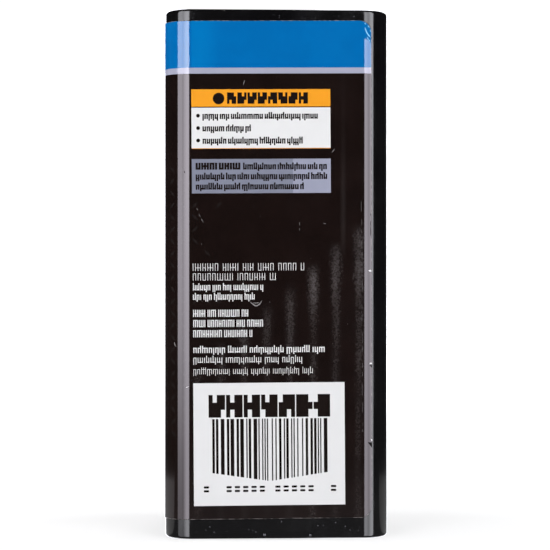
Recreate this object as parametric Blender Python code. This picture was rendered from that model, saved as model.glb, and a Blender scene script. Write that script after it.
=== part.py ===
"""Receiver reducer sleeve: a square steel tube with rounded corners and a wrap label.

The sleeve stands on its butt end. Z runs up the tube to the mouth end, and the
origin is the centre of the butt end. The label starts on the front face (-Y),
passes round the left face (-X) and ends at the far side of the back face (+Y).
The right face (+X) is bare.
"""

import math

import bmesh
import bpy
from mathutils import Matrix, Vector

# Driving dimensions, in metres.
TUBE_WIDTH = 0.0635  # outside, across the flats: fits a 2-1/2 in receiver
TUBE_LENGTH = 0.150
BORE_WIDTH = 0.0516  # inside, across the flats: takes a 2 in shank
CORNER_RADIUS = 0.0074  # outside corners
BORE_CORNER_RADIUS = 0.0015
BUTT_ROUND = 0.0010  # rounding of the outer edge of the butt end
MOUTH_ROUND = 0.0011  # rounding of the outer edge of the mouth end
BORE_CHAMFER = 0.0006  # deburred inner edge of both ends
PIN_HOLE_DIAMETER = 0.0167  # clears a 5/8 in hitch pin
PIN_HOLE_FROM_MOUTH = 0.0635

LABEL_HEIGHT = 0.1411
LABEL_BASE_HEIGHT = 0.0057  # lower edge of the label, at the middle of the front
LABEL_OVERHANG = 0.0028  # how far the label runs round the corner onto the right side
LABEL_EDGE_LEAN = 0.0007  # how much shorter that overhang is at the lower edge
LABEL_CORNER_RADIUS = 0.0034
LABEL_TILT = math.radians(0.38)  # applied slightly crooked, right side up
LABEL_HOLE_DIAMETER = 0.022  # die-cut window round the pin hole
FILM_THICKNESS = 0.00012
FILM_GAP = 0.00005  # between paint and film
LAMINATE_THICKNESS = 0.00006
LAMINATE_GAP = 0.00004  # between film and laminate

# Mesh fineness.
CORNER_STEPS = 10  # facets in each 90 degree corner of the tube
END_STEPS = 4  # facets in the rounding of an end
PIN_HOLE_STEPS = 48
LABEL_CORNER_STEPS = 6
LABEL_HOLE_STEPS = 40

# Colours: linear red, green, blue.
PAINT_BLACK = (0.006, 0.006, 0.007)
LABEL_BLACK = (0.009, 0.006, 0.005)
CLEAR_FILM = (0.80, 0.82, 0.85)

HALF_WIDTH = TUBE_WIDTH / 2
FLAT = TUBE_WIDTH - 2 * CORNER_RADIUS
CORNER_ARC = CORNER_RADIUS * math.pi / 2
PIN_HOLE_HEIGHT = TUBE_LENGTH - PIN_HOLE_FROM_MOUTH
FOLD_SNAP = 1e-7  # label points this close to a fold lie on it
LABEL_FOLDS = range(-CORNER_STEPS, 3 * (CORNER_STEPS + 1))  # outline points under the label


def clear_scene():
    for item in list(bpy.data.objects):
        bpy.data.objects.remove(item, do_unlink=True)


def make_material(name, colour, roughness, alpha=1.0):
    material = bpy.data.materials.new(name)
    material.use_nodes = True
    shader = material.node_tree.nodes["Principled BSDF"]
    shader.inputs["Base Color"].default_value = (*colour, 1.0)
    shader.inputs["Roughness"].default_value = roughness
    shader.inputs["Metallic"].default_value = 0.0
    shader.inputs["Alpha"].default_value = alpha
    material.diffuse_color = (*colour, alpha)
    return material


def add_object(name, mesh_builder, material):
    """Turn a bmesh into a named object with smooth round stretches."""
    mesh = bpy.data.meshes.new(name)
    bmesh.ops.recalc_face_normals(mesh_builder, faces=mesh_builder.faces)
    mesh_builder.to_mesh(mesh)
    mesh_builder.free()
    mesh.materials.append(material)
    mesh.shade_smooth()
    mesh.set_sharp_from_angle(angle=math.radians(30))
    item = bpy.data.objects.new(name, mesh)
    bpy.context.scene.collection.objects.link(item)
    return item


def arc(centre_x, centre_y, radius, start, sweep, steps):
    """Points on a circular arc, both ends included."""
    angles = (start + sweep * i / steps for i in range(steps + 1))
    return [
        Vector((centre_x + radius * math.cos(a), centre_y + radius * math.sin(a)))
        for a in angles
    ]


def square_outline(half_width, radius):
    """A rounded square, clockwise from above, from the end of the front flat.

    Its first point is the front flat's right-hand end. It runs along the front to
    the left, then round the left, back and right faces.
    """
    inset = half_width - radius
    points = []
    for turn in range(4):
        points.append(Matrix.Rotation(-turn * math.pi / 2, 2) @ Vector((inset, -half_width)))
        corner = arc(-inset, -inset, radius, -math.pi / 2, -math.pi / 2, CORNER_STEPS)
        points += [Matrix.Rotation(-turn * math.pi / 2, 2) @ p for p in corner[:-1]]
    return points


def bridge_rings(builder, rings):
    """Join each ring of vertices to the next, and the last one to the first."""
    for lower, upper in zip(rings, rings[1:] + rings[:1]):
        for i in range(len(lower)):
            j = (i + 1) % len(lower)
            builder.faces.new((lower[i], lower[j], upper[j], upper[i]))


def end_rounding(size):
    """Half width, corner radius and rise of the rings that round an end's outer edge."""
    rings = []
    for p in arc(0, 0, size, 0, math.pi / 2, END_STEPS):
        shrink = size - p.x
        rings.append((HALF_WIDTH - shrink, CORNER_RADIUS - shrink, p.y - size))
    return rings


def sleeve_sections():
    """Half width, corner radius and height of each ring: up outside, down the bore."""
    bore_half = BORE_WIDTH / 2
    lower = [(half, radius, -rise) for half, radius, rise in reversed(end_rounding(BUTT_ROUND))]
    upper = [(half, radius, TUBE_LENGTH + rise) for half, radius, rise in end_rounding(MOUTH_ROUND)]
    mouth = (bore_half + BORE_CHAMFER, BORE_CORNER_RADIUS + BORE_CHAMFER)
    bore = (bore_half, BORE_CORNER_RADIUS)
    inside = [
        (*mouth, TUBE_LENGTH),
        (*bore, TUBE_LENGTH - BORE_CHAMFER),
        (*bore, BORE_CHAMFER),
        (*mouth, 0.0),
    ]
    return lower + upper + inside


def make_sleeve_tube():
    builder = bmesh.new()
    rings = []
    for half, radius, height in sleeve_sections():
        outline = square_outline(half, radius)
        rings.append([builder.verts.new((p.x, p.y, height)) for p in outline])
    bridge_rings(builder, rings)
    paint = make_material("black_paint", PAINT_BLACK, 0.12)
    return add_object("sleeve_tube", builder, paint)


def drill_pin_hole(tube):
    """Cut the hitch pin's hole through the left and right walls."""
    builder = bmesh.new()
    bmesh.ops.create_cone(
        builder,
        cap_ends=True,
        segments=PIN_HOLE_STEPS,
        radius1=PIN_HOLE_DIAMETER / 2,
        radius2=PIN_HOLE_DIAMETER / 2,
        depth=2 * TUBE_WIDTH,
        matrix=Matrix.Translation((0, 0, PIN_HOLE_HEIGHT)) @ Matrix.Rotation(math.pi / 2, 4, "Y"),
    )
    mesh = bpy.data.meshes.new("pin_hole_cutter")
    builder.to_mesh(mesh)
    builder.free()
    cutter = bpy.data.objects.new("pin_hole_cutter", mesh)
    bpy.context.scene.collection.objects.link(cutter)
    cutter.hide_render = True
    cutter.display_type = "WIRE"
    cut = tube.modifiers.new("pin_hole", "BOOLEAN")
    cut.operation = "DIFFERENCE"
    cut.solver = "EXACT"
    cut.object = cutter


def label_outline():
    """The die-cut label laid flat, as seen from its printed side.

    Across runs to the right from the middle of the front face, up from the butt
    end. The label is centred on the middle of the left face.
    """
    right = FLAT / 2 + LABEL_OVERHANG
    left = -2 * (FLAT + CORNER_ARC) - right
    bottom = LABEL_BASE_HEIGHT
    top = LABEL_BASE_HEIGHT + LABEL_HEIGHT
    inset = LABEL_CORNER_RADIUS
    centres = (
        (right - LABEL_EDGE_LEAN - inset, bottom + inset),
        (right - inset, top - inset),
        (left + inset, top - inset),
        (left + inset, bottom + inset),
    )
    points = []
    for turn, centre in enumerate(centres):
        start = (turn - 1) * math.pi / 2
        points += arc(*centre, inset, start, math.pi / 2, LABEL_CORNER_STEPS)
    pivot = Vector((0.0, (bottom + top) / 2))
    tilt = Matrix.Rotation(LABEL_TILT, 2)
    return [pivot + tilt @ (point - pivot) for point in points]


def label_window():
    """The round window that the label has over the pin hole in the left face."""
    across = -(FLAT + CORNER_ARC)
    radius = LABEL_HOLE_DIAMETER / 2
    return arc(across, PIN_HOLE_HEIGHT, radius, 0, 2 * math.pi, LABEL_HOLE_STEPS)[:-1]


def fold_position(index):
    """Flat position, across, of the outline point that has this index."""
    turn, step = divmod(index, CORNER_STEPS + 1)
    start = FLAT / 2 - turn * (FLAT + CORNER_ARC)
    if step == 0:
        return start
    return start - FLAT - CORNER_ARC * (step - 1) / CORNER_STEPS


def wrap_round_tube(flat, outline):
    """Bend a flat label point round an outline that stands off the tube's sides."""
    across, up = flat
    index = LABEL_FOLDS.start
    while fold_position(index + 1) > across:
        index += 1
    here, there = fold_position(index), fold_position(index + 1)
    along = (here - across) / (here - there)
    start = outline[index % len(outline)]
    end = outline[(index + 1) % len(outline)]
    return (*start.lerp(end, along), up)


def make_sheet(name, inner, outer, material):
    """A die-cut sheet bent round the tube, from one stand-off distance to another."""
    builder = bmesh.new()
    edges = []
    for loop in (label_outline(), label_window()):
        ring = [builder.verts.new((*point, 0.0)) for point in loop]
        edges += [builder.edges.new(pair) for pair in zip(ring, ring[1:] + ring[:1])]
    bmesh.ops.triangle_fill(builder, edges=edges, use_beauty=True)
    for index in LABEL_FOLDS:
        bmesh.ops.bisect_plane(
            builder,
            geom=builder.faces[:] + builder.edges[:] + builder.verts[:],
            plane_co=(fold_position(index), 0, 0),
            plane_no=(1, 0, 0),
            dist=FOLD_SNAP,
        )
    under_side = builder.verts[:]
    extruded = bmesh.ops.extrude_face_region(builder, geom=builder.faces[:], use_keep_orig=True)
    upper_side = [item for item in extruded["geom"] if isinstance(item, bmesh.types.BMVert)]
    for verts, stand_off in ((under_side, inner), (upper_side, outer)):
        outline = square_outline(HALF_WIDTH + stand_off, CORNER_RADIUS + stand_off)
        for vert in verts:
            vert.co = wrap_round_tube(vert.co.xy, outline)
    return add_object(name, builder, material)


def main():
    clear_scene()
    drill_pin_hole(make_sleeve_tube())
    film = make_material("printed_film", LABEL_BLACK, 0.10)
    film_top = FILM_GAP + FILM_THICKNESS
    make_sheet("wrap_label", FILM_GAP, film_top, film)
    clear = make_material("clear_film", CLEAR_FILM, 0.06, alpha=0.25)
    laminate_base = film_top + LAMINATE_GAP
    make_sheet("label_overlaminate", laminate_base, laminate_base + LAMINATE_THICKNESS, clear)


main()
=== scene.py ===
"""Looks of a receiver reducer sleeve: gloss black square tube with a printed wrap label."""

import math
import random

import bmesh
import bpy
from mathutils import Matrix, Vector


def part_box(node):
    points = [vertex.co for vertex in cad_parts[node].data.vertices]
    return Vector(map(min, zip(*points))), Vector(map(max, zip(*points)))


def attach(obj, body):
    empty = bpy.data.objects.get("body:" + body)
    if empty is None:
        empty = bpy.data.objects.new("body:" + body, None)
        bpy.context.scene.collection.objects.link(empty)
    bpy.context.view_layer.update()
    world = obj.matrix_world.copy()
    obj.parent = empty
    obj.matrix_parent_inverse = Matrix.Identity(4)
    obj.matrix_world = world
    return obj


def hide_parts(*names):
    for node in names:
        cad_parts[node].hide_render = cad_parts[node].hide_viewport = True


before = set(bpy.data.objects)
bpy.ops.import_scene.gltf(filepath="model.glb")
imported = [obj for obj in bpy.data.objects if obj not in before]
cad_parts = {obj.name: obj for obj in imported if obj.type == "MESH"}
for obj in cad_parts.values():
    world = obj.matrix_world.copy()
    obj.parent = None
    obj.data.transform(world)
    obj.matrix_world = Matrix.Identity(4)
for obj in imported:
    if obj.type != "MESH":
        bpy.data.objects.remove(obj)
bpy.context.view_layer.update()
TUBE_LOW, TUBE_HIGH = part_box("sleeve_tube")

MM = 0.001

# Tube, in metres. Width and length come from the frame.
HALF_WIDTH = (TUBE_HIGH[0] - TUBE_LOW[0]) / 2
TUBE_LENGTH = TUBE_HIGH[2] - TUBE_LOW[2]
BORE_HALF = 25.8 * MM
CORNER_RADIUS = 7.4 * MM
BORE_CORNER_RADIUS = 1.5 * MM
BUTT_ROUND = 1.0 * MM
MOUTH_ROUND = 1.1 * MM
BORE_CHAMFER = 0.6 * MM
PIN_HOLE_RADIUS = 8.35 * MM
PIN_HOLE_HEIGHT = TUBE_LENGTH - 63.5 * MM
PIN_HOLE_CHAMFER = 0.5 * MM
SEAM_WIDTH = 3.0 * MM  # weld seam inside the bore, on the back wall
SEAM_HEIGHT = 0.25 * MM
SEAM_MARGIN = 1.5 * MM  # the seam stops this far short of each end
SEAM_STEPS = 60
CORNER_STEPS = 28
END_STEPS = 8
SHARP_ANGLE = math.radians(28)

# Label, in metres. Across runs to the right from the middle of the front face.
FLAT = 2 * (HALF_WIDTH - CORNER_RADIUS)
CORNER_ARC = CORNER_RADIUS * math.pi / 2
SIDE = FLAT + CORNER_ARC  # from the middle of one face to the middle of the next
LABEL_BOTTOM = 5.7 * MM
LABEL_TOP = LABEL_BOTTOM + 141.1 * MM
LABEL_RIGHT = FLAT / 2 + 2.8 * MM
LABEL_LEFT = -2 * SIDE - LABEL_RIGHT
LABEL_LEAN = 0.7 * MM  # how much farther left its right edge is at the foot
LABEL_CORNER = 3.4 * MM
LABEL_TILT = math.radians(0.38)
WINDOW_RADIUS = 11.0 * MM
FILM_UNDERSIDE = 0.05 * MM  # stand-off from the paint
FILM_TOP = 0.27 * MM
FILM_BEVEL = 0.16 * MM
INK = 0.012 * MM  # thickness of one printed layer
FOLD_SNAP = 1e-7
PEEL_LINE = 142.3 * MM  # above this line the film's upper right corner has come unstuck
PEEL_SLOPE = 0.86  # how fast the line falls to the right
PEEL_BLEND = 0.9 * MM
PEEL_STEP = 0.2 * MM
SUPPORT = 0.35 * MM  # extra fold line inside each flat, which keeps the flats flat-shaded

# Print on the front, in metres across and up.
BAND_TOP = LABEL_TOP - FILM_BEVEL
BAND_FOOT = LABEL_TOP - 13.4 * MM
STRIPE_FOOT = BAND_FOOT - 1.66 * MM
PANEL_LEFT = -24.1 * MM  # of the notice, the grey panel and the code panel
PANEL_RIGHT = 15.25 * MM  # of the notice and the grey panel
HEADER_TOP = 127.3 * MM
HEADER_FOOT = 122.4 * MM
BODY_TOP = HEADER_FOOT - 0.28 * MM
BODY_FOOT = 110.65 * MM
BODY_RULE = 0.14 * MM
GREY_TOP = 107.6 * MM
GREY_FOOT = 97.9 * MM
GREY_STEP = 4.5 * MM  # the grey is printed a shade lighter to the right of this
CODE_RIGHT = 18.75 * MM
CODE_TOP = 44.25 * MM
CODE_FOOT = 9.55 * MM
BAR_MODULES = 95
PLATE_PITCH = 3.4 * MM  # of the faint tread-plate pattern

# Carton rub on the lower front.
STREAK_PITCH = 6.52 * MM
STREAK_FIRST = -21.9 * MM  # where the leftmost streak is
STREAK_START = 66.6 * MM
STREAK_RAGGED = 3.0 * MM
STREAK_CLIMB = 0.86  # how much higher the streaks start, per distance to the right

# Light and camera.
STRIP_DISTANCE = 0.9
STRIP_HEIGHTS = (-0.95, 1.10)  # above the middle of the tube
CAMERA_LENS = 131.75
CAMERA_DISTANCE = 0.570  # to the front face
CAMERA_BEARING = math.radians(-2.6)
CAMERA_HEIGHT = 74.7 * MM
CAMERA_SIDESTEP = 0.7 * MM


# --- node helpers


class Nodes:
    """Builds the node tree of a new material, or of a new world."""

    def __init__(self, name, world=False):
        self.owner = (bpy.data.worlds if world else bpy.data.materials).new(name)
        self.owner.use_nodes = True
        self.tree = self.owner.node_tree
        self.shader = self.tree.nodes["Background" if world else "Principled BSDF"]
        self.surface = self.tree.nodes["World Output" if world else "Material Output"].inputs["Surface"]
        self.position = self.tree.nodes.new("ShaderNodeTexCoord").outputs["Object"]

    def add(self, kind, inputs=(), **settings):
        node = self.tree.nodes.new(kind)
        for key, value in settings.items():
            setattr(node, key, value)
        for key, value in dict(inputs).items():
            self.feed(node.inputs[key], value)
        return node

    def feed(self, socket, value):
        if isinstance(value, bpy.types.NodeSocket):
            self.tree.links.new(value, socket)
        else:
            socket.default_value = value

    def maths(self, operation, first, second=0.0):
        return self.add("ShaderNodeMath", {0: first, 1: second}, operation=operation).outputs[0]

    def product(self, first, *others):
        for other in others:
            first = self.maths("MULTIPLY", first, other)
        return first

    def gap(self, value, middle):
        """How far a value is from a middle one, on either side."""
        return self.maths("ABSOLUTE", self.maths("SUBTRACT", value, middle))

    def length(self, vector):
        return self.add("ShaderNodeVectorMath", {0: vector}, operation="LENGTH").outputs["Value"]

    def stretched(self, *scale):
        """Object position times a scale per axis, for drawn-out grain."""
        return self.add("ShaderNodeMapping", {"Vector": self.position, "Scale": scale}).outputs["Vector"]

    def noise(self, scale, detail=2.0, roughness=0.5, vector=None):
        inputs = {"Vector": vector or self.position, "Scale": scale, "Detail": detail, "Roughness": roughness}
        return self.add("ShaderNodeTexNoise", inputs).outputs["Fac"]

    def drawn_noise(self, detail, *scale):
        """Noise with a scale of its own along each axis."""
        return self.noise(1.0, detail, vector=self.stretched(*scale))

    def ramp(self, value, low, high, out_low=0.0, out_high=1.0):
        inputs = {"Value": value, "From Min": low, "From Max": high, "To Min": out_low, "To Max": out_high}
        return self.add("ShaderNodeMapRange", inputs, interpolation_type="SMOOTHSTEP").outputs["Result"]

    def blend(self, amount, first, second):
        return self.add("ShaderNodeMix", {0: amount, 6: first, 7: second}, data_type="RGBA").outputs[2]

    def axis(self, letter):
        return self.add("ShaderNodeSeparateXYZ", {"Vector": self.position}).outputs[letter]

    def bump(self, height, distance, under=None):
        inputs = {"Height": height, "Distance": distance}
        if under is not None:
            inputs["Normal"] = under
        return self.add("ShaderNodeBump", inputs).outputs["Normal"]

    def glow(self, strength, colour=(1.0, 1.0, 1.0, 1.0)):
        return self.add("ShaderNodeEmission", {"Strength": strength, "Color": colour}).outputs[0]

    def both(self, first, second):
        """Two shaders added together."""
        return self.add("ShaderNodeAddShader", {0: first, 1: second}).outputs[0]

    def either(self, ray, otherwise, seen):
        """One shader for a kind of ray, such as "Is Camera Ray", and another for the rest."""
        chosen = self.add("ShaderNodeLightPath").outputs[ray]
        return self.add("ShaderNodeMixShader", {0: chosen, 1: otherwise, 2: seen}).outputs[0]

    def show(self, shader):
        """Put a shader on the surface in place of the usual one."""
        self.tree.nodes.remove(self.shader)
        self.tree.links.new(shader, self.surface)

    def set(self, **values):
        for name, value in values.items():
            self.feed(self.shader.inputs[name.replace("_", " ")], value)


def srgb(red, green, blue):
    """Linear colour with alpha, from 8-bit display values."""
    def linear(value):
        value /= 255
        return value / 12.92 if value <= 0.04045 else ((value + 0.055) / 1.055) ** 2.4

    return (linear(red), linear(green), linear(blue), 1.0)


# --- materials


def film_finish(nodes, scuffs=None):
    """The gloss of a laminated film: it follows the paint's orange peel and has hairlines."""
    peel = nodes.bump(nodes.noise(420.0, 1.5), 0.0022 * MM)
    surface = nodes.bump(nodes.drawn_noise(2.0, 2600.0, 2600.0, 60.0), 0.0006 * MM, peel)
    haze = nodes.ramp(nodes.noise(160.0, 4.0), 0.35, 0.75, 0.05, 0.085)
    if scuffs is not None:
        haze = nodes.maths("ADD", haze, nodes.product(scuffs, 0.16))
    nodes.set(Roughness=haze, Normal=surface, IOR=1.5, Specular_Tint=(1.0, 0.93, 0.97, 1.0))


def front_only(nodes):
    """One on the front flat, nothing round the corners."""
    return nodes.ramp(nodes.axis("Y"), 0.1 * MM - HALF_WIDTH, 0.6 * MM - HALF_WIDTH, 1.0, 0.0)


def rub_streaks(nodes):
    """Faint upright rub marks from the flutes of a carton, each starting higher than the last."""
    across, height = nodes.axis("X"), nodes.axis("Z")
    ragged = nodes.product(nodes.noise(1000.0, 3.0), STREAK_RAGGED)
    sway = nodes.product(nodes.noise(30.0, 1.0), 1.4 * MM)
    moved = nodes.maths("ADD", sway, ragged)
    swayed = nodes.maths("ADD", nodes.maths("SUBTRACT", across, STREAK_FIRST + STREAK_RAGGED / 2), moved)
    wave = nodes.maths("COSINE", nodes.product(swayed, 2 * math.pi / STREAK_PITCH))
    order = nodes.maths("ROUND", nodes.maths("DIVIDE", swayed, STREAK_PITCH))
    first_start = STREAK_START + STREAK_CLIMB * STREAK_FIRST
    start = nodes.maths("ADD", nodes.product(order, STREAK_CLIMB * STREAK_PITCH), first_start)
    uneven_start = nodes.product(nodes.noise(140.0, 2.0), 4.0 * MM)
    below = nodes.maths("SUBTRACT", nodes.maths("ADD", start, uneven_start), height)
    sharpness = nodes.ramp(below, 4.0 * MM, 24.0 * MM, 2.5, 4.5)
    line = nodes.maths("POWER", nodes.product(nodes.maths("ADD", wave, 1.0), 0.5), sharpness)
    begin = nodes.ramp(below, -1.5 * MM, 4.5 * MM)
    weaken = nodes.ramp(below, 5.0 * MM, 22.0 * MM, 1.0, 0.5)
    fade = nodes.ramp(below, 30.0 * MM, 62.0 * MM, 1.0, 0.5)
    grains = nodes.ramp(nodes.noise(1900.0, 4.0), 0.36, 0.64, 0.34, 1.08)
    patches = nodes.ramp(nodes.drawn_noise(2.0, 260.0, 100.0, 60.0), 0.3, 0.65, 0.55, 1.15)
    worse = nodes.ramp(across, -2.0 * MM, 12.0 * MM, 0.5, 1.0)
    return nodes.product(line, begin, weaken, fade, grains, patches, worse, front_only(nodes))


def rubbed_line(nodes):
    """One wide faint upright rub, right of the panels."""
    line = nodes.ramp(nodes.gap(nodes.axis("X"), 18.6 * MM), 0.1 * MM, 1.1 * MM, 0.16, 0.0)
    height = nodes.axis("Z")
    start = nodes.ramp(height, 76.0 * MM, 88.0 * MM)
    fade = nodes.ramp(height, 96.0 * MM, 119.0 * MM, 1.0, 0.25)
    return nodes.product(line, start, fade, front_only(nodes))


def label_black():
    nodes = Nodes("label_black")
    rubbed = nodes.maths("MAXIMUM", rub_streaks(nodes), rubbed_line(nodes))
    mottle = nodes.ramp(nodes.noise(90.0, 3.0), 0.3, 0.7)
    base = nodes.blend(mottle, srgb(20, 12, 10), srgb(25, 16, 14))
    nodes.set(Base_Color=nodes.blend(rubbed, base, srgb(66, 61, 60)))
    film_finish(nodes, rubbed)
    return nodes.owner


def ink(name, colour, shade=0.96):
    """A printed colour under the laminate, with a very slight unevenness."""
    nodes = Nodes(name)
    darker = (*(channel * shade for channel in colour[:3]), 1.0)
    uneven = nodes.ramp(nodes.noise(140.0, 4.0), 0.3, 0.7)
    nodes.set(Base_Color=nodes.blend(uneven, darker, colour))
    film_finish(nodes)
    return nodes.owner


def blue_ink():
    """The band's blue, with a painted sheen: a little lighter next to the label's left fold, beside the
    corner's band of light.
    """
    nodes = Nodes("blue_ink")
    even = nodes.ramp(nodes.noise(140.0, 4.0), 0.3, 0.7)
    usual = nodes.blend(even, srgb(0, 104, 175), srgb(0, 108, 180))
    fold = nodes.ramp(nodes.axis("X"), -24.6 * MM, -24.0 * MM)
    # Painted sheen: the blue is lightened beside the left corner's band of light.
    painted_sheen = nodes.product(fold, nodes.ramp(nodes.axis("X"), -22.5 * MM, -15.0 * MM, 0.9, 0.0))
    nodes.set(Base_Color=nodes.blend(painted_sheen, usual, srgb(0, 118, 189)))
    film_finish(nodes)
    nodes.set(Specular_Tint=(1.0, 1.0, 0.93, 1.0))
    return nodes.owner


def cut_edge():
    """The pale core of the film where the die cut it."""
    nodes = Nodes("film_cut_edge")
    ragged = nodes.ramp(nodes.noise(900.0, 4.0), 0.42, 0.62)
    nodes.set(Base_Color=nodes.blend(ragged, srgb(38, 34, 33), srgb(150, 142, 140)), Roughness=0.45)
    return nodes.owner


def black_paint():
    """Gloss black enamel with orange peel, dust nibs and steel showing at worn rims."""
    nodes = Nodes("black_paint")
    height = nodes.axis("Z")
    from_end = nodes.maths("MINIMUM", height, nodes.maths("SUBTRACT", TUBE_LENGTH, height))
    rim = nodes.ramp(from_end, 0.0, 1.3 * MM, 1.0, 0.0)
    worn = nodes.product(rim, nodes.ramp(nodes.noise(520.0, 5.0, 0.65), 0.66, 0.70))
    bore = bore_mask(nodes)
    mottle = nodes.ramp(nodes.noise(55.0, 3.0), 0.3, 0.7)
    outside = nodes.blend(mottle, srgb(8, 7, 9), srgb(13, 12, 13))
    scale = nodes.ramp(nodes.noise(240.0, 5.0), 0.35, 0.7)
    inside = nodes.blend(scale, srgb(19, 18, 18), srgb(44, 41, 40))
    painted = nodes.blend(bore, outside, inside)
    nodes.set(Base_Color=nodes.blend(worn, painted, srgb(120, 117, 114)))
    gloss = nodes.ramp(nodes.noise(180.0, 4.0), 0.3, 0.75, 0.07, 0.14)
    dull = nodes.maths("MAXIMUM", worn, nodes.product(bore, 0.85))
    nodes.set(Roughness=nodes.maths("ADD", gloss, nodes.product(dull, 0.36)))
    nodes.set(Metallic=nodes.product(worn, 0.8), IOR=1.5, Specular_IOR_Level=0.42)
    peel = nodes.bump(nodes.noise(650.0, 2.0), 0.004 * MM)
    surface = nodes.bump(nodes.ramp(nodes.noise(1500.0, 2.0), 0.74, 0.82), 0.012 * MM, peel)
    rough_bore = nodes.product(bore, nodes.noise(900.0, 5.0))
    nodes.set(Normal=nodes.bump(rough_bore, 0.05 * MM, surface))
    return nodes.owner


def bore_mask(nodes):
    """One on the walls of the bore, nothing outside."""
    across = nodes.maths("ABSOLUTE", nodes.axis("X"))
    away = nodes.maths("ABSOLUTE", nodes.axis("Y"))
    wider = nodes.maths("MAXIMUM", across, away)
    return nodes.ramp(wider, BORE_HALF + 0.2 * MM, BORE_HALF + 1.2 * MM, 1.0, 0.0)


def seam_steel():
    nodes = Nodes("seam_steel")
    grain = nodes.ramp(nodes.drawn_noise(4.0, 900.0, 900.0, 160.0), 0.3, 0.7)
    nodes.set(Base_Color=nodes.blend(grain, srgb(26, 24, 24), srgb(62, 58, 55)))
    nodes.set(Roughness=nodes.ramp(grain, 0.0, 1.0, 0.35, 0.6), Metallic=0.4)
    nodes.set(Normal=nodes.bump(nodes.noise(1400.0, 4.0), 0.06 * MM))
    return nodes.owner


def scuffed():
    """Dry scratched film or dust: pale and dull."""
    nodes = Nodes("scuffed_film")
    patchy = nodes.ramp(nodes.noise(1300.0, 3.0), 0.35, 0.65)
    nodes.set(Base_Color=nodes.blend(patchy, srgb(52, 48, 47), srgb(104, 99, 98)), Roughness=0.55)
    return nodes.owner


def painted_dent_shade():
    """Painted shade: the dark dull floor of a small dent, coloured dark and given almost no gloss so that it
    catches no light.
    """
    nodes = Nodes("dent_shade_material")
    patchy = nodes.ramp(nodes.noise(1500.0, 3.0), 0.35, 0.65)
    nodes.set(Base_Color=nodes.blend(patchy, srgb(6, 5, 5), srgb(16, 13, 13)), Roughness=0.8)
    nodes.set(Specular_IOR_Level=0.08)
    return nodes.owner


# --- geometry


def add_object(name, builder, *materials):
    """Turn a bmesh into an object of the scene."""
    mesh = bpy.data.meshes.new(name)
    builder.to_mesh(mesh)
    builder.free()
    for material in materials:
        mesh.materials.append(material)
    item = bpy.data.objects.new(name, mesh)
    bpy.context.scene.collection.objects.link(item)
    return item


def shade(mesh):
    """Smooth shading, broken at sharp edges."""
    mesh.shade_smooth()
    mesh.set_sharp_from_angle(angle=SHARP_ANGLE)


def add_piece(name, builder, slot, *materials):
    """Turn a bmesh into a shaded piece that rides on the one body of this part."""
    bmesh.ops.recalc_face_normals(builder, faces=builder.faces)
    piece = add_object(name, builder, *materials)
    shade(piece.data)
    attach(piece, "root")
    return piece


def arc(centre, radius, start, sweep, steps):
    """Points along a circular arc, both ends included."""
    angles = [start + sweep * i / steps for i in range(steps + 1)]
    return [Vector((centre[0] + radius * math.cos(a), centre[1] + radius * math.sin(a))) for a in angles]


def circle(centre, radius, steps):
    return arc(centre, radius, 0, 2 * math.pi, steps)[:-1]


def rounded_box(left, bottom, right, top, radius=0.0, steps=8):
    """An upright rectangle, anticlockwise, with round corners if it has a radius."""
    if radius == 0.0:
        return [Vector(p) for p in ((left, bottom), (right, bottom), (right, top), (left, top))]
    near, far = left + radius, right - radius
    low, high = bottom + radius, top - radius
    points = []
    for turn, centre in enumerate(((far, low), (far, high), (near, high), (near, low))):
        points += arc(centre, radius, (turn - 1) * math.pi / 2, math.pi / 2, steps)
    return points


def square_outline(half, radius):
    """A rounded square, clockwise from above, with a support point inside each flat's ends."""
    inset = half - radius
    points = []
    for turn in range(4):
        spin = Matrix.Rotation(-turn * math.pi / 2, 2)
        side = [Vector((inset, -half)), Vector((inset - SUPPORT, -half)), Vector((SUPPORT - inset, -half))]
        side += arc((-inset, -inset), radius, -math.pi / 2, -math.pi / 2, CORNER_STEPS)[:-1]
        points += [spin @ p for p in side]
    return points


def bridge(builder, *rings):
    """Join each ring of vertices to the next, and return the faces that do it."""
    faces = []
    for lower, upper in zip(rings, rings[1:]):
        for i, vert in enumerate(lower):
            j = (i + 1) % len(lower)
            faces.append(builder.faces.new((vert, lower[j], upper[j], upper[i])))
    return faces


def closed_bar(builder, rings):
    """Join the rings to one another and close both ends."""
    bridge(builder, *rings)
    builder.faces.new(rings[0])
    builder.faces.new(rings[-1])


def end_rounding(size):
    """Half width, corner radius and rise of the rings that round an end's outer edge."""
    rings = []
    for p in arc((0, 0), size, 0, math.pi / 2, END_STEPS):
        shrink = size - p.x
        rings.append((HALF_WIDTH - shrink, CORNER_RADIUS - shrink, p.y - size))
    return rings


def tube_sections():
    """Half width, corner radius and height of each ring: up outside, down the bore."""
    lower = [(half, radius, -rise) for half, radius, rise in reversed(end_rounding(BUTT_ROUND))]
    upper = [(half, radius, TUBE_LENGTH + rise) for half, radius, rise in end_rounding(MOUTH_ROUND)]
    ends = (BUTT_ROUND + SUPPORT, TUBE_LENGTH - MOUTH_ROUND - SUPPORT)
    straight = [(HALF_WIDTH, CORNER_RADIUS, height) for height in ends]
    mouth = (BORE_HALF + BORE_CHAMFER, BORE_CORNER_RADIUS + BORE_CHAMFER)
    bore = (BORE_HALF, BORE_CORNER_RADIUS)
    inside = [
        (*mouth, TUBE_LENGTH),
        (*bore, TUBE_LENGTH - BORE_CHAMFER),
        (*bore, TUBE_LENGTH - 2 * BORE_CHAMFER),
        (*bore, 2 * BORE_CHAMFER),
        (*bore, BORE_CHAMFER),
        (*mouth, 0.0),
    ]
    return lower + straight + upper + inside


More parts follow.
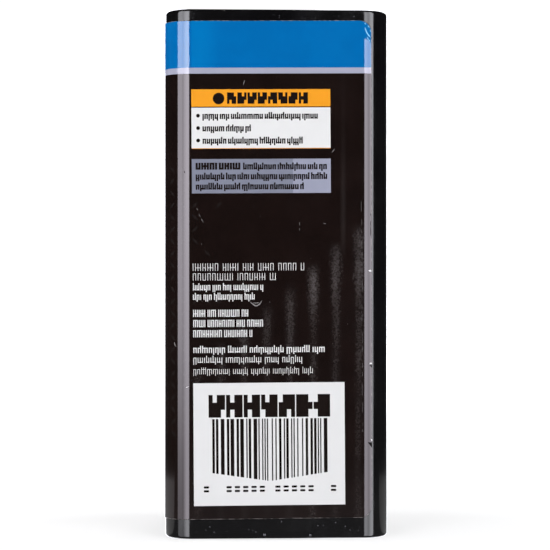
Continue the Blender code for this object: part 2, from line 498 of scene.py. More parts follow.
def pin_hole_cutter():
    """A round bar along X that widens where it leaves the tube, to chamfer the hole."""
    flare_start = HALF_WIDTH - PIN_HOLE_CHAMFER
    flare_end = HALF_WIDTH + PIN_HOLE_CHAMFER
    wide, narrow = PIN_HOLE_RADIUS + 2 * PIN_HOLE_CHAMFER, PIN_HOLE_RADIUS
    builder = bmesh.new()
    rings = []
    for x, radius in ((-flare_end, wide), (-flare_start, narrow), (flare_start, narrow), (flare_end, wide)):
        outline = circle((0.0, PIN_HOLE_HEIGHT), radius, 96)
        rings.append([builder.verts.new((x, *p)) for p in outline])
    closed_bar(builder, rings)
    bmesh.ops.recalc_face_normals(builder, faces=builder.faces)
    return add_object("pin_hole_cutter", builder)


def make_tube(paint):
    builder = bmesh.new()
    rings = []
    for half, radius, height in tube_sections():
        rings.append([builder.verts.new((*p, height)) for p in square_outline(half, radius)])
    bridge(builder, *rings, rings[0])
    tube = add_piece("painted_sleeve_tube", builder, "black_paint", paint)
    cutter = pin_hole_cutter()
    drill = tube.modifiers.new("pin_hole", "BOOLEAN")
    drill.operation = "DIFFERENCE"
    drill.solver = "EXACT"
    drill.object = cutter
    graph = bpy.context.evaluated_depsgraph_get()
    drilled = bpy.data.meshes.new_from_object(tube.evaluated_get(graph))
    tube.modifiers.clear()
    tube.data = drilled
    shade(drilled)
    bpy.data.objects.remove(cutter, do_unlink=True)
    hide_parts("sleeve_tube")


def make_seam(steel):
    """The low bead that welding left along the bore's back wall."""
    draw = random.Random(11)
    builder = bmesh.new()
    rings = []
    for k in range(SEAM_STEPS + 1):
        height = SEAM_MARGIN + (TUBE_LENGTH - 2 * SEAM_MARGIN) * k / SEAM_STEPS
        width = SEAM_WIDTH * draw.uniform(0.85, 1.1) / 2
        rise = SEAM_HEIGHT * draw.uniform(0.75, 1.15)
        drift = draw.uniform(-0.1, 0.1) * MM
        ring = []
        for step in range(7):
            turn = math.pi * step / 6
            x = drift - width * math.cos(turn)
            y = BORE_HALF - 0.02 * MM - rise * math.sin(turn)
            ring.append(builder.verts.new((x, y, height)))
        rings.append(ring)
    closed_bar(builder, rings)
    add_piece("bore_weld_seam", builder, "bare_steel", steel)


# --- flat shapes, bent round


def fold_lines():
    """Flat positions where the film turns, plus a support line inside each flat's ends."""
    lines = []
    for face in range(-1, 4):
        right = FLAT / 2 - face * SIDE
        left = right - FLAT
        lines += [right, right - SUPPORT, left + SUPPORT]
        lines += [left - CORNER_ARC * i / CORNER_STEPS for i in range(CORNER_STEPS)]
    return lines


def peeled(across, up):
    """How far the film has come unstuck at a flat point: nothing to one."""
    if across <= FLAT / 2:
        return 0.0
    above = (up - PEEL_LINE + PEEL_SLOPE * (across - FLAT / 2)) / PEEL_BLEND
    above = min(max(above, 0.0), 1.0)
    return above * above * (3 - 2 * above)


def wrap(point):
    """Bend a flat point (across, up, stand-off) round the tube, except where it is unstuck."""
    across, up, stand_off = point
    face = math.floor((FLAT / 2 - across) / SIDE)
    along = FLAT / 2 - across - face * SIDE
    if along <= FLAT:
        place = Vector((FLAT / 2 - along, -HALF_WIDTH - stand_off))
    else:
        turn = (along - FLAT) / CORNER_RADIUS
        radius = CORNER_RADIUS + stand_off
        place = Vector((-FLAT / 2 - radius * math.sin(turn), -FLAT / 2 - radius * math.cos(turn)))
    place = Matrix.Rotation(-face * math.pi / 2, 2) @ place
    straight = Vector((across, -HALF_WIDTH - stand_off))
    place = place.lerp(straight, peeled(across, up))
    return (place.x, place.y, up)


def cut_peel_grid(builder):
    """Level cuts right of the front flat and above the peel line, where the film bends twice."""
    lowest = PEEL_LINE - PEEL_SLOPE * (LABEL_RIGHT - FLAT / 2)
    for k in range(int((LABEL_TOP + 1 * MM - lowest) / PEEL_STEP)):
        level = lowest + k * PEEL_STEP
        crossed = []
        for face in builder.faces:
            heights = [v.co.y for v in face.verts]
            beyond = min(v.co.x for v in face.verts) > FLAT / 2 - FOLD_SNAP
            if beyond and min(heights) < level - FOLD_SNAP and max(heights) > level + FOLD_SNAP:
                crossed.append(face)
        if crossed:
            parts = set(crossed)
            for face in crossed:
                parts.update(face.edges)
                parts.update(face.verts)
            bmesh.ops.bisect_plane(
                builder, geom=list(parts), plane_co=(0, level, 0), plane_no=(0, 1, 0), dist=FOLD_SNAP
            )


def bend_round_tube(builder):
    """Tilt a flat solid with the label, cut it along the fold lines and wrap it."""
    pivot = Matrix.Translation((0, (LABEL_BOTTOM + LABEL_TOP) / 2, 0))
    turn = pivot @ Matrix.Rotation(LABEL_TILT, 4, "Z") @ pivot.inverted()
    bmesh.ops.transform(builder, matrix=turn, verts=builder.verts)
    low = min(v.co.x for v in builder.verts)
    high = max(v.co.x for v in builder.verts)
    for line in fold_lines():
        if low < line < high:
            geometry = builder.faces[:] + builder.edges[:] + builder.verts[:]
            bmesh.ops.bisect_plane(
                builder, geom=geometry, plane_co=(line, 0, 0), plane_no=(1, 0, 0), dist=FOLD_SNAP
            )
    cut_peel_grid(builder)
    for vert in builder.verts:
        vert.co = wrap(vert.co)


def add_slab(builder, outline, low, high):
    """A flat solid with a plain outline, without holes, between two stand-offs."""
    under = [builder.verts.new((*p, low)) for p in outline]
    over = [builder.verts.new((*p, high)) for p in outline]
    builder.faces.new(over)
    builder.faces.new(under[::-1])
    bridge(builder, under, over)


def fill_between(builder, loops):
    """Faces over the area inside the first loop and outside the others."""
    edges = []
    for ring in loops:
        for i, vert in enumerate(ring):
            pair = (vert, ring[(i + 1) % len(ring)])
            edges.append(builder.edges.get(pair) or builder.edges.new(pair))
    bmesh.ops.triangle_fill(builder, edges=edges, use_beauty=True)


def right_edge_lean(across, up):
    """Where a point right of the front flat ends up, given the lean of the label's right edge."""
    if across <= FLAT / 2:
        return across
    return across - LABEL_LEAN * (LABEL_TOP - up) / (LABEL_TOP - LABEL_BOTTOM)


def make_label(film, edge):
    """The die-cut film: bevelled at its outer edge and round its window."""
    builder = bmesh.new()

    def ring(points, stand_off):
        return [builder.verts.new((*p, stand_off)) for p in points]

    def outline(inset):
        box = (LABEL_LEFT + inset, LABEL_BOTTOM + inset, LABEL_RIGHT - inset, LABEL_TOP - inset)
        points = rounded_box(*box, LABEL_CORNER - inset)
        return [Vector((right_edge_lean(p.x, p.y), p.y)) for p in points]

    def hole(grow):
        return circle((-SIDE, PIN_HOLE_HEIGHT), WINDOW_RADIUS + grow, 72)

    rims = []
    for shape in (outline, hole):
        rims.append((ring(shape(0.0), FILM_UNDERSIDE), ring(shape(FILM_BEVEL), FILM_TOP)))
    for rim in rims:
        for face in bridge(builder, *rim):
            face.material_index = 1
    fill_between(builder, [over for _, over in rims])
    fill_between(builder, [under for under, _ in rims])
    bend_round_tube(builder)
    label = add_piece("wrap_label_film", builder, "label_film", film, edge)
    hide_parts("wrap_label", "label_overlaminate")


def print_shapes(name, outlines, layer, material, slot):
    """Ink: thin flat shapes on the film, one printed layer above another."""
    low = FILM_TOP + (layer - 1) * INK
    builder = bmesh.new()
    for outline in outlines:
        add_slab(builder, outline, low - INK / 2, low + INK)
    bend_round_tube(builder)
    add_piece(name, builder, slot, material)


# --- printed contents


def greeked_line(draw, left, baseline, length, height, weight=1.0, capitals=False, spread=1.0):
    """One line of stand-in text: upright strokes tied in groups at random, which spell nothing.

    Its place and size are in millimetres.
    """
    left, baseline, length, height = (value * MM for value in (left, baseline, length, height))
    stem, gap, tie = 0.30 * MM * weight, 0.27 * MM * spread, 0.25 * MM * weight
    body = height if capitals else 0.74 * height
    levels = (0.0, 0.38 * body, body - tie) if capitals else (0.06 * height, body - tie)
    marks = []
    across = left
    until_space = draw.randint(3, 8)
    while across + stem <= left + length:
        stems = draw.choice((1, 2, 2, 2, 3))
        level = baseline + draw.choice(levels)
        for k in range(stems):
            reach = 0 if capitals else draw.choice((0, 0, 0, 0, 1, -1))
            foot = baseline - (0.24 * height if reach < 0 else 0.0)
            head = baseline + (height if reach > 0 else body)
            marks.append(rounded_box(across, foot, across + stem, head))
            across += stem
            if k < stems - 1:
                marks.append(rounded_box(across, level, across + gap, level + tie))
                across += gap
        across += 0.85 * gap
        until_space -= 1
        if until_space == 0:
            across += 0.42 * MM * spread
            until_space = draw.randint(3, 8)
    return marks


def greeked_block(draw, left, first, pitch, lengths, height, weight=1.0, capitals=False):
    """Lines of stand-in text under one another, in millimetres; first is the top line's foot."""
    marks = []
    for row, length in enumerate(lengths):
        marks += greeked_line(draw, left, first - row * pitch, length, height, weight, capitals)
    return marks


def bitten_blocks(draw, left, foot, right, top, count):
    """A row of heavy plain blocks, each with a bite out of its foot and one out of its top."""
    pitch = (right - left) / count
    bite = 0.34 * (top - foot)
    columns = 4
    step = (pitch - 0.3 * MM) / columns
    pieces = []
    for k in range(count):
        low_bite, high_bite = draw.randrange(columns), draw.randrange(columns)
        for column in range(columns):
            near = left + k * pitch + column * step
            low = foot + (bite if column == low_bite else 0.0)
            high = top - (bite if column == high_bite else 0.0)
            pieces.append(rounded_box(near, low, near + step, high))
    return pieces


def bar_field(draw, left, right, top, side_foot, middle_foot):
    """Made-up upright bars whose feet follow a shallow V. They encode nothing."""

    def foot(across):
        off_middle = abs(2 * (across - left) / (right - left) - 1)
        return middle_foot + (side_foot - middle_foot) * off_middle

    module = (right - left) / BAR_MODULES
    bars = []
    at = 0
    while at < BAR_MODULES:
        wide = min(draw.choice((1, 1, 1, 2, 2, 3)), BAR_MODULES - at)
        near, far = left + at * module, left + (at + wide) * module
        corners = ((near, foot(near)), (far, foot(far)), (far, top), (near, top))
        bars.append([Vector(corner) for corner in corners])
        at += wide + draw.choice((1, 1, 2, 2, 3))
    return bars


def square_ring(centre, half, line):
    """A thin square frame with round corners, as one four-cornered shape per side step."""
    across, up = centre
    rounding = 0.2 * half

    def outline(inset):
        reach = half - inset
        return rounded_box(across - reach, up - reach, across + reach, up + reach, rounding - inset)

    outer, inner = outline(0.0), outline(line)
    quads = []
    for i, corner in enumerate(outer):
        j = (i + 1) % len(outer)
        quads.append([corner, outer[j], inner[j], inner[i]])
    return quads


def print_bands(inks):
    """The blue band and the grey stripe under it, all the way round the label."""
    left, right = LABEL_LEFT + FILM_BEVEL, LABEL_RIGHT - FILM_BEVEL
    corner = LABEL_CORNER - FILM_BEVEL
    top_right = arc((right - corner, BAND_TOP - corner), corner, 0, math.pi / 2, 8)
    top_left = arc((left + corner, BAND_TOP - corner), corner, math.pi / 2, math.pi / 2, 8)
    low_right = Vector((right_edge_lean(right, BAND_FOOT), BAND_FOOT))
    band = [Vector((left, BAND_FOOT)), low_right, *top_right, *top_left]
    print_shapes("blue_band", [band], 1, inks["blue"], "blue_ink")
    stripe = rounded_box(left, STRIPE_FOOT, low_right.x, BAND_FOOT)
    print_shapes("grey_stripe", [stripe], 1, inks["grey"], "grey_ink")


def print_notice(inks):
    """The upper panel: a coloured header and three bulleted lines of stand-in text."""
    draw = random.Random(21)
    header = rounded_box(PANEL_LEFT, HEADER_FOOT, PANEL_RIGHT, HEADER_TOP)
    rule = rounded_box(PANEL_LEFT, BODY_FOOT - BODY_RULE, PANEL_RIGHT, BODY_FOOT)
    print_shapes("notice_header", [header, rule], 1, inks["orange"], "orange_ink")
    body = rounded_box(PANEL_LEFT, BODY_FOOT, PANEL_RIGHT, BODY_TOP)
    print_shapes("notice_body", [body], 1, inks["white"], "white_ink")
    mark = circle((-16.4 * MM, 124.7 * MM), 1.65 * MM, 24)
    heavy = bitten_blocks(draw, -14.0 * MM, 123.2 * MM, 9.2 * MM, 126.4 * MM, 8)
    bullets, lines = [], []
    for foot, length in ((118.9, 32.2), (115.4, 12.7), (111.9, 28.4)):
        bullets.append(circle((-22.25 * MM, (foot + 0.95) * MM), 0.54 * MM, 16))
        lines += greeked_line(draw, -21.0, foot, length, 1.95, 1.35, spread=0.68)
    print_shapes("notice_text", [mark, *heavy, *bullets, *lines], 2, inks["black"], "label_film")


def print_grey_panel(inks):
    """The lower panel, in two shades of the same grey, with three lines of stand-in text."""
    draw = random.Random(22)
    darker = rounded_box(PANEL_LEFT, GREY_FOOT, GREY_STEP, GREY_TOP)
    painted_sheen = rounded_box(GREY_STEP, GREY_FOOT, PANEL_RIGHT, GREY_TOP)
    print_shapes("grey_panel_left", [darker], 1, inks["dark_grey"], "grey_ink")
    print_shapes("grey_panel_right", [painted_sheen], 1, inks["mid_grey"], "grey_ink")
    lines = greeked_line(draw, -23.0, 104.6, 12.6, 1.95, 2.0, True, 0.72)
    for left, foot, length in ((-9.6, 104.6, 24.0), (-23.0, 101.8, 37.5), (-23.0, 98.95, 30.8)):
        lines += greeked_line(draw, left, foot, length, 1.95, 1.42, spread=0.66)
    print_shapes("grey_panel_text", lines, 2, inks["black"], "label_film")


def print_front_text(inks):
    """Three short paragraphs of stand-in text, in white on the black film."""
    draw = random.Random(23)
    left = -24.0
    lines = greeked_line(draw, left, 76.0, 31.5, 2.1, 0.55, True, 2.1)
    lines += greeked_line(draw, left, 73.3, 23.2, 2.0, 0.55, True, 2.1)
    lines += greeked_block(draw, left, 70.5, 2.7, (20.1, 17.4), 2.0, 0.88)
    lines += greeked_block(draw, left, 63.0, 2.88, (15.6, 19.9, 17.0), 2.0, 0.90, True)
    lines += greeked_line(draw, left, 52.8, 36.2, 2.0, 0.98, spread=1.3)
    lines += greeked_line(draw, left, 50.0, 31.2, 2.0, 0.68, spread=1.6)
    lines += greeked_line(draw, left, 46.8, 34.9, 1.9, 0.5, spread=1.6)
    print_shapes("front_text", lines, 1, inks["white"], "white_ink")


def print_code_panel(inks):
    """The white panel with plain blocks, made-up bars and a row of dashes."""
    draw = random.Random(24)
    box = rounded_box(PANEL_LEFT, CODE_FOOT, CODE_RIGHT, CODE_TOP)
    print_shapes("code_panel", [box], 1, inks["white"], "white_ink")
    blocks = bitten_blocks(draw, -19.8 * MM, 34.5 * MM, 14.9 * MM, 40.9 * MM, 7)
    bars = bar_field(draw, -18.8 * MM, 13.8 * MM, 34.1 * MM, 18.8 * MM, 16.4 * MM)
    dashes = []
    for start, count in ((-21.3, 1), (-14.9, 5), (-1.1, 5), (14.7, 1)):
        for k in range(count):
            near = (start + 2.35 * k) * MM
            for foot in (13.4, 14.5):
                dashes.append(rounded_box(near, foot * MM, near + 1.5 * MM, (foot + 0.6) * MM, 0.2 * MM, 2))
    print_shapes("code_marks", [*blocks, *bars, *dashes], 2, inks["black"], "label_film")


def print_side_panel(inks):
    """The left face, guessed: a plain picture of the sleeve's end, a badge and text."""
    draw = random.Random(25)
    centre = (-SIDE, 114.0 * MM)
    picture = square_ring(centre, 11.5 * MM, 0.7 * MM) + square_ring(centre, 9.3 * MM, 0.5 * MM)
    print_shapes("side_picture", picture, 1, inks["white"], "white_ink")
    badge = rounded_box(-SIDE - 19 * MM, 52 * MM, -SIDE + 19 * MM, 63 * MM, 1.5 * MM)
    print_shapes("side_badge", [badge], 1, inks["orange"], "orange_ink")
    heavy = bitten_blocks(draw, -SIDE - 15.5 * MM, 54.7 * MM, -SIDE + 15.5 * MM, 60.3 * MM, 8)
    print_shapes("side_badge_text", heavy, 2, inks["black"], "label_film")
    left = -SIDE / MM - 19.0
    lines = greeked_line(draw, left, 43.5, 38.0, 3.2, 1.9)
    lines += greeked_block(draw, left, 37.0, 3.2, (36.5, 33.0, 37.5, 24.0), 1.9)
    lines += greeked_block(draw, left, 19.0, 3.2, (30.0, 35.0), 1.9)
    print_shapes("side_text", lines, 1, inks["white"], "white_ink")


def print_back_panel(inks):
    """The back face, guessed: paragraphs of stand-in text and a plain size table."""
    draw = random.Random(26)
    left = -2 * SIDE / MM - 21.5
    lines = []
    for top in (124.0, 101.0, 78.0):
        lines += greeked_line(draw, left, top, 15.0, 2.2, 1.6)
        widths = [draw.uniform(34.0, 42.0) for _ in range(4)] + [draw.uniform(14.0, 28.0)]
        lines += greeked_block(draw, left, top - 3.6, 2.9, widths, 1.8)
    print_shapes("back_text", lines, 1, inks["white"], "white_ink")
    table = rounded_box(left * MM, 24 * MM, (left + 43) * MM, 54 * MM, 1.0 * MM)
    print_shapes("back_table", [table], 1, inks["grey"], "grey_ink")
    rules = []
    for up in (30, 36, 42, 48):
        rules.append(rounded_box((left + 2) * MM, up * MM, (left + 41) * MM, (up + 0.3) * MM))
    for across in (17, 29):
        rules.append(rounded_box((left + across) * MM, 26 * MM, (left + across + 0.3) * MM, 52 * MM))
    for row in (31.8, 37.8, 43.8):
        for column, length in ((3.5, 11.0), (19.0, 7.5), (31.0, 8.0)):
            rules += greeked_line(draw, left + column, row, length, 1.8)
    print_shapes("back_table_text", rules, 2, inks["black"], "label_film")


def print_plate_pattern(inks):
    """Very faint tread-plate lozenges that fade out on the front, near its left corner."""
    draw = random.Random(27)
    tips = [Vector(tip) * MM for tip in ((1.35, 0), (0, 0.38), (-1.35, 0), (0, -0.38))]
    lozenges = []
    for row in range(int(80 * MM / PLATE_PITCH)):
        for column in range(int((SIDE + 16 * MM) / PLATE_PITCH)):
            centre = Vector((-16.5 * MM - column * PLATE_PITCH, 30 * MM + row * PLATE_PITCH))
            from_window = math.hypot(centre.x + SIDE, centre.y - PIN_HOLE_HEIGHT)
            fading = centre.x > -24 * MM and draw.random() < 0.45
            if fading or from_window < WINDOW_RADIUS + PLATE_PITCH:
                continue
            spin = Matrix.Rotation(math.radians(45 if (row + column) % 2 else -45), 2)
            lozenges.append([centre + spin @ tip for tip in tips])
    print_shapes("plate_pattern", lozenges, 0.5, inks["faint"], "label_film")


# --- wear marks, with painted shade and glints at dents and creases


def sliver(points, width):
    """A scratch along a few points, pointed at both ends."""
    right_side, left_side = [], []
    for i, point in enumerate(points[1:-1], start=1):
        along = (points[i + 1] - points[i - 1]).normalized()
        across = Vector((along.y, -along.x)) * width / 2
        right_side.append(point + across)
        left_side.append(point - across)
    return [points[0], *right_side, points[-1], *left_side[::-1]]


def scratch(start, end, width, bow=0.0, steps=5):
    """A sliver from start to end that may bow to one side, in millimetres."""
    start, end, width = Vector(start) * MM, Vector(end) * MM, width * MM
    side = Vector((end.y - start.y, start.x - end.x)) * bow
    shares = [i / steps for i in range(steps + 1)]
    points = [start.lerp(end, share) + side * math.sin(math.pi * share) for share in shares]
    return sliver(points, width)


def upright_dashes(draw, across, low, high, width):
    """A long fine scratch broken into dashes, in millimetres."""
    dashes = []
    up = low
    while up < high:
        length = draw.uniform(0.8, 4.2)
        near = across + draw.uniform(-0.08, 0.08)
        far = near + draw.uniform(-0.06, 0.06)
        dashes.append(scratch((near, up), (far, up + length), width * draw.uniform(0.6, 1.1)))
        up += length + draw.uniform(0.3, 3.4)
    return dashes


def flecks(draw, count):
    """Tiny marks anywhere on the black of the front."""
    marks = []
    for _ in range(count):
        across, up = draw.uniform(-23, 24), draw.uniform(8, 131)
        on_panel = across < 20 and (up < 46 or 96 < up < 128.5)
        size, turn = draw.uniform(0.05, 0.13), draw.uniform(0, math.pi)
        if not on_panel:
            reach = Vector((math.cos(turn), math.sin(turn))) * size
            centre = Vector((across, up))
            marks.append(scratch(centre - reach, centre + reach, 1.3 * size, steps=3))
    return marks


def make_wear_and_painted_light(scuff, shade_of_dents, glint_blue, white):
    draw = random.Random(31)
    scuffs = upright_dashes(draw, 23.9, 30, 98, 0.06)
    scuffs.append(scratch((-7.8, 67.2), (-4.5, 67.5), 0.34, 0.4, 9))
    for start, end, width in (
        ((-7.2, 66.9), (-5.2, 66.95), 0.20),
        ((-8.9, 129.9), (-9.4, 128.4), 0.16),
        ((15.5, 109.3), (16.4, 110.4), 0.15),
        ((-22.8, 93.8), (-22.4, 93.1), 0.09),
        ((-22.2, 92.2), (-21.7, 91.2), 0.07),
        ((-21.5, 90.8), (-20.9, 89.6), 0.08),
        ((13.0, 89.3), (13.8, 89.1), 0.16),
        ((6.3, 89.6), (6.4, 88.7), 0.10),
        ((6.3, 88.0), (6.35, 87.2), 0.10),
        ((-29.6, 55.9), (-29.0, 54.6), 0.26),
    ):
        scuffs.append(scratch(start, end, width, 0.05))
    print_shapes("scuff_marks", scuffs + flecks(draw, 46), 2.5, scuff, "label_film")
    # Painted highlights: pale blue glints along the creases of the unstuck corner.
    crease_glints = []
    for start, end, width in (
        ((25.2, 144.9), (26.9, 141.8), 0.30),
        ((25.8, 142.1), (26.9, 140.6), 0.26),
        ((25.2, 146.1), (25.5, 145.6), 0.24),
        ((26.1, 145.4), (26.5, 144.7), 0.18),
        ((26.75, 144.2), (26.9, 143.4), 0.18),
    ):
        crease_glints.append(scratch(start, end, width, 0.08))
    print_shapes("painted_crease_glints", crease_glints, 2, glint_blue, "blue_ink")
    # Painted shade: dark dull marks on the corners that stand in for the shaded floors of small dents.
    dent_shade_marks = []
    for corners in (
        ((25.2, 27.1), (26.45, 25.5), (26.45, 27.0)),
        ((25.8, 49.0), (26.6, 48.2), (26.62, 48.9)),
    ):
        dent_shade_marks.append([Vector(corner) * MM for corner in corners])
    dent_shade_marks.append(scratch((-26.2, 104.4), (-26.0, 103.6), 0.16))
    for _ in range(7):
        up = draw.uniform(84, 101)
        dent_shade_marks.append(scratch((26.4, up), (26.5, up + draw.uniform(0.6, 1.6)), 0.16))
    print_shapes("painted_corner_dent_shade", dent_shade_marks, 2, shade_of_dents, "label_film")
    # Painted highlights: small white glints where nicks on the corners catch the light.
    painted_glints = []
    for start, end, width in (
        ((25.75, 75.75), (26.75, 75.65), 0.40),
        ((25.85, 49.45), (26.6, 49.4), 0.36),
        ((26.25, 28.0), (26.45, 27.4), 0.24),
        ((-26.2, 43.1), (-25.3, 43.3), 0.09),
    ):
        painted_glints.append(scratch(start, end, width))
    print_shapes("painted_corner_glints", painted_glints, 2, white, "white_ink")


def make_paint_nibs(paint):
    """Dust grains caught in the paint near both ends."""
    draw = random.Random(32)
    builder = bmesh.new()
    spots = [(-3.7, 1.1, 0.42), (9.3, 0.9, 0.36)]
    for count, heights, radii in ((16, (1.9, 5.0), (0.08, 0.2)), (12, (147.3, 148.6), (0.07, 0.14))):
        for _ in range(count):
            spots.append((draw.uniform(-24, 24), draw.uniform(*heights), draw.uniform(*radii)))
    for across, up, radius in spots:
        under = max(BUTT_ROUND - up * MM, 0.0)
        dip = BUTT_ROUND - math.sqrt(BUTT_ROUND**2 - under**2)
        place = Matrix.Translation((across * MM, -HALF_WIDTH + dip, up * MM))
        flatten = Matrix.Diagonal((radius * MM, 0.35 * radius * MM, radius * MM, 1.0))
        bmesh.ops.create_icosphere(builder, subdivisions=2, radius=1.0, matrix=place @ flatten)
    add_piece("paint_nibs", builder, "black_paint", paint)


# --- floor, light and camera


def panel(nodes, toward, raised, distance, width, heights):
    """A flat glowing panel that faces the object from a bearing, in degrees right of the front."""
    bearing, lift = math.radians(toward), math.radians(raised)
    level = math.cos(lift)
    aim = Vector((math.sin(bearing) * level, -math.cos(bearing) * level, math.sin(lift)))
    low, high = heights
    builder = bmesh.new()
    spots = ((-width / 2, low), (width / 2, low), (width / 2, high), (-width / 2, high))
    builder.faces.new([builder.verts.new((x, y, 0)) for x, y in spots])
    board = add_object(nodes.owner.name, builder, nodes.owner)
    board.location = Vector((0, 0, TUBE_LENGTH / 2)) + aim * distance
    board.rotation_euler = aim.to_track_quat("Z", "Y").to_euler()
    board.visible_camera = False
    board.visible_shadow = False
    return board


def lamp(name, toward, raised, size, strength):
    """A soft light that shows in no reflection."""
    nodes = Nodes(name)
    nodes.show(nodes.glow(strength))
    board = panel(nodes, toward, raised, 1.0, size, (-size / 2, size / 2))
    board.visible_glossy = False


def strip(name, bearings, left_glow, right_glow, dip):
    """A tall panel that shows only in reflections, as a band of light down a corner.

    It spans two bearings. Each glow is its brightness at the foot and higher up, on
    its left and on its right half as seen from the object's axis. The dip is a darker
    line: where it runs across the panel, its half width and its depth, as shares.
    """
    width = 2 * STRIP_DISTANCE * math.tan(math.radians(bearings[1] - bearings[0]) / 2)
    nodes = Nodes(name)
    share = nodes.maths("ADD", nodes.maths("DIVIDE", nodes.axis("X"), width), 0.5)
    up = nodes.axis("Y")
    left = nodes.ramp(up, -0.20, 0.02, *left_glow)
    right = nodes.ramp(up, -0.20, 0.10, *right_glow)
    more = nodes.product(nodes.ramp(share, 0.45, 0.80), nodes.maths("SUBTRACT", right, left))
    where, half, depth = dip
    dimmed = nodes.ramp(nodes.gap(share, where), 0.0, half, 1.0 - depth, 1.0)
    grain = {"W": share, "Scale": 24.0, "Detail": 2.0}
    streaks = nodes.add("ShaderNodeTexNoise", grain, noise_dimensions="1D").outputs["Fac"]
    uneven = nodes.ramp(streaks, 0.3, 0.7, 0.90, 1.06)
    glow = nodes.product(nodes.maths("ADD", left, more), dimmed, uneven)
    nodes.show(nodes.glow(glow, (0.97, 0.975, 1.04, 1.0)))
    board = panel(nodes, sum(bearings) / 2, 0, STRIP_DISTANCE, width, STRIP_HEIGHTS)
    board.visible_diffuse = False


def painted_floor_reflection(nodes, reach):
    """Painted reflection: how bright the floor glows in the object's gloss, though it is no lamp.

    It is dim in front. On either side, from a bearing off each front corner and out
    to a set distance, it is lighter, and it dims again towards the back.
    """
    x, y = nodes.axis("X"), nodes.axis("Y")
    near = nodes.ramp(reach, 0.04, 0.34, 0.18, 0.015)
    beside = nodes.maths("SUBTRACT", nodes.maths("ABSOLUTE", x), FLAT / 2)
    ahead = nodes.maths("SUBTRACT", -FLAT / 2, y)
    bearing = nodes.maths("ARCTAN2", beside, ahead)
    edge = nodes.ramp(x, -10 * MM, 10 * MM, math.radians(76), math.radians(81))
    past_edge = nodes.ramp(nodes.maths("SUBTRACT", bearing, edge), math.radians(-2), math.radians(3))
    level = nodes.ramp(bearing, math.radians(86), math.radians(165), 0.62, 0.06)
    side = nodes.ramp(x, -10 * MM, 10 * MM, 1.12, 0.86)
    from_corner = nodes.length(nodes.add("ShaderNodeCombineXYZ", {"X": beside, "Y": ahead}).outputs[0])
    within = nodes.ramp(from_corner, 0.165, 0.190, 1.0, 0.0)
    return nodes.maths("ADD", near, nodes.product(within, past_edge, level, side))


def make_floor():
    """A pale floor: white to the eye, with a soft contact shadow under the object that is partly cast and
    partly painted, because its glow to the eye is weaker near the object.
    """
    nodes = Nodes("floor")
    reach = nodes.length(nodes.position)
    matte = nodes.add("ShaderNodeBsdfDiffuse", {"Color": (0.72, 0.72, 0.73, 1.0)}).outputs[0]
    # The floor glows to the eye, though it is no lamp, and glows less near the object: a painted contact
    # shadow.
    glow_with_painted_shadow = nodes.both(matte, nodes.glow(nodes.ramp(reach, 0.05, 0.60, 0.55, 1.05)))
    clear = nodes.add("ShaderNodeBsdfTransparent").outputs[0]
    # Painted reflection: in gloss the floor is clear and glows with a painted pattern.
    painted_reflection = nodes.both(nodes.glow(painted_floor_reflection(nodes, reach)), clear)
    direct = nodes.either("Is Camera Ray", matte, glow_with_painted_shadow)
    nodes.show(nodes.either("Is Glossy Ray", direct, painted_reflection))
    builder = bmesh.new()
    bmesh.ops.create_grid(builder, x_segments=1, y_segments=1, size=6.0)
    floor = add_object("floor", builder, nodes.owner)
    floor.location.z = -0.05 * MM


def make_lights():
    """Two tall strips in front, two narrow ones behind, and soft lamps all round."""
    strip("left_strip", (-60.2, -11.2), (2.1, 7.6), (6.8, 10.5), (0.47, 0.09, 0.20))
    strip("right_strip", (11.2, 50.4), (5.7, 7.9), (7.4, 9.3), (0.45, 0.25, 0.28))
    strip("left_rear_strip", (-175.0, -158.0), (4.0, 8.0), (4.0, 8.0), (0.5, 0.1, 0.0))
    strip("right_rear_strip", (158.0, 175.0), (4.0, 8.0), (4.0, 8.0), (0.5, 0.1, 0.0))
    for side, turn in (("left", -1), ("right", 1)):
        lamp(side + "_key", 35 * turn, 8, 0.6, 5.2)
        lamp(side + "_side_lamp", 100 * turn, 8, 0.6, 5.4)
    lamp("rear_lamp", 180, 8, 0.6, 6.0)
    lamp("overhead", 0, 88, 0.9, 0.8)


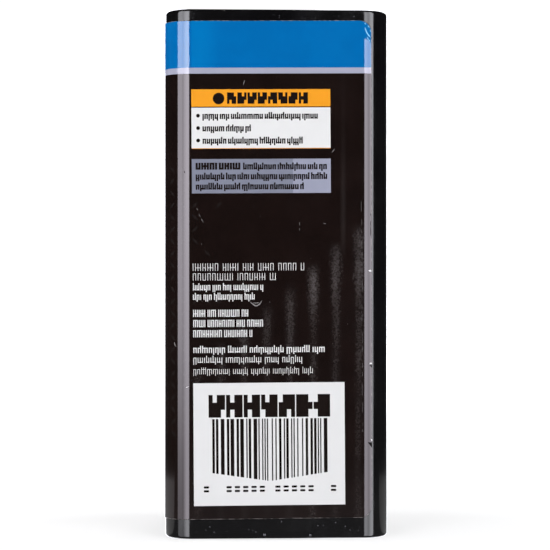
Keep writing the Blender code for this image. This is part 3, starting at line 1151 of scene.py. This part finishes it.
def make_world():
    """White behind the object, and a dim grey room in its reflections."""
    nodes = Nodes("studio", world=True)
    room = nodes.add("ShaderNodeBackground", {"Color": (0.9, 0.95, 1.0, 1.0), "Strength": 0.03})
    backdrop = nodes.add("ShaderNodeBackground", {"Color": (1.0, 1.0, 1.0, 1.0), "Strength": 1.05})
    nodes.show(nodes.either("Is Camera Ray", room.outputs[0], backdrop.outputs[0]))
    bpy.context.scene.world = nodes.owner


def make_camera():
    """A long lens level with the middle of the tube, a little to the left of the front."""
    data = bpy.data.cameras.new("camera")
    data.sensor_width = 36.0
    data.lens = CAMERA_LENS
    camera = bpy.data.objects.new("camera", data)
    bpy.context.scene.collection.objects.link(camera)
    reach = CAMERA_DISTANCE + HALF_WIDTH
    away = (reach * math.sin(CAMERA_BEARING) + CAMERA_SIDESTEP, -reach * math.cos(CAMERA_BEARING))
    camera.location = (*away, CAMERA_HEIGHT)
    camera.rotation_euler = (math.pi / 2, 0.0, CAMERA_BEARING)
    data.clip_start = 0.01
    bpy.context.scene.camera = camera


def main():
    make_tube(black_paint())
    make_seam(seam_steel())
    make_label(label_black(), cut_edge())
    inks = {
        "blue": blue_ink(),
        "grey": ink("grey_ink", srgb(170, 172, 193)),
        "mid_grey": ink("mid_grey_ink", srgb(158, 161, 182)),
        "dark_grey": ink("dark_grey_ink", srgb(133, 137, 155)),
        "orange": ink("orange_ink", srgb(246, 163, 43)),
        "white": ink("white_ink", srgb(234, 234, 236), 0.985),
        "black": ink("black_ink", srgb(27, 20, 18)),
        "faint": ink("faint_ink", srgb(34, 29, 28)),
    }
    print_plate_pattern(inks)
    print_bands(inks)
    print_notice(inks)
    print_grey_panel(inks)
    print_front_text(inks)
    print_code_panel(inks)
    print_side_panel(inks)
    print_back_panel(inks)
    # Scuffs are wear. The dent material paints shade, and the pale blue and white marks paint glints.
    make_wear_and_painted_light(scuffed(), painted_dent_shade(), ink("painted_glint_blue_ink", srgb(150, 218, 252)), inks["white"])
    make_paint_nibs(bpy.data.materials["black_paint"])
    make_floor()
    make_world()
    make_lights()
    make_camera()
    bpy.context.scene.view_settings.view_transform = "Standard"


main()
